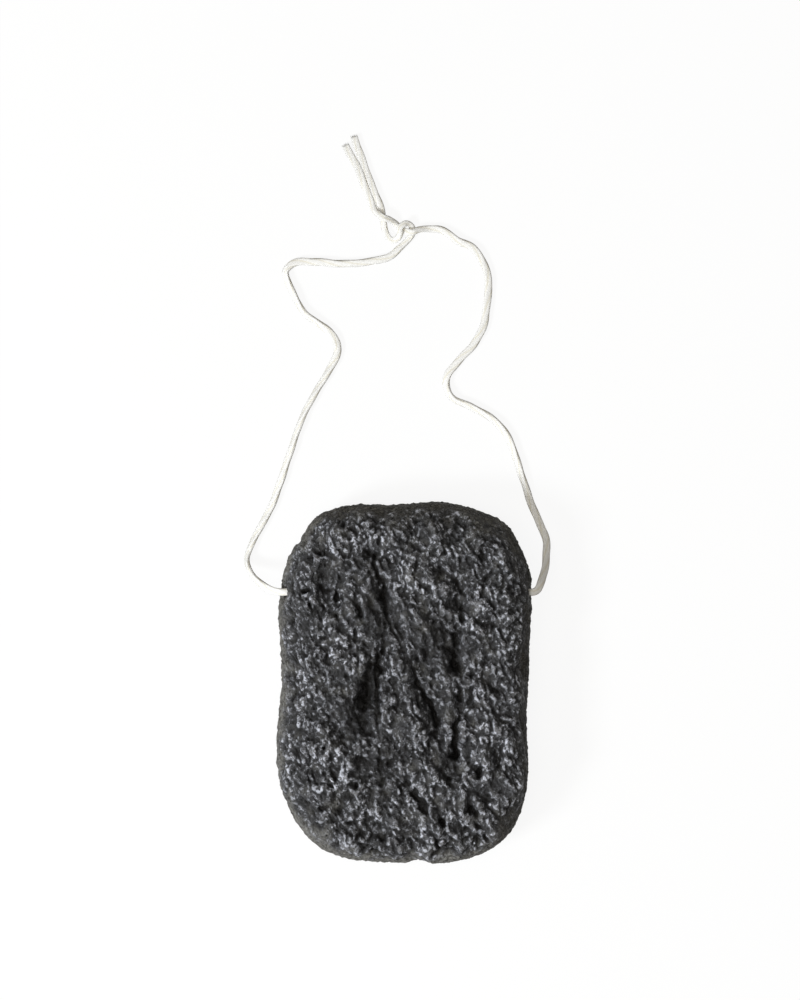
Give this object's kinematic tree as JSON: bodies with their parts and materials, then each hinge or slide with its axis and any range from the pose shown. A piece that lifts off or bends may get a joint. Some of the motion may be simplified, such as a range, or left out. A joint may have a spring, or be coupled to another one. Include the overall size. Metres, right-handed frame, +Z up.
{
  "type": "konjac sponge",
  "caption": "Rounded rectangular charcoal konjac sponge with a cotton string threaded through it sideways and knotted into a hanging loop.",
  "frame": {"origin": "middle of the sponge's flat underside, at the surface it lies on", "axes": "+Y along the sponge towards the end where the string loop lies, +X across it, +Z up out of its face"},
  "size_m": [0.0977, 0.2325, 0.0262],
  "materials": {
    "sponge": "charcoal konjac foam, crumpled, with small glossy flecks on the face and matte sides",
    "string": "soft off-white cotton cord, matte, finely twisted"
  },
  "bodies": {
    "sponge_body": {"sponge": "sponge"},
    "string_loop": {"string_threaded_run": "string", "string_left_side": "string", "string_right_side": "string", "string_knot": "string", "string_long_tail": "string", "string_short_tail": "string"}
  },
  "joints": [
    {"name": "loop_swing", "type": "hinge", "parent": "sponge_body", "child": "string_loop", "pos_m": [0, 0.029, 0.0145], "axis": [1, 0, 0], "range_deg": [0, 180]}
  ]
}
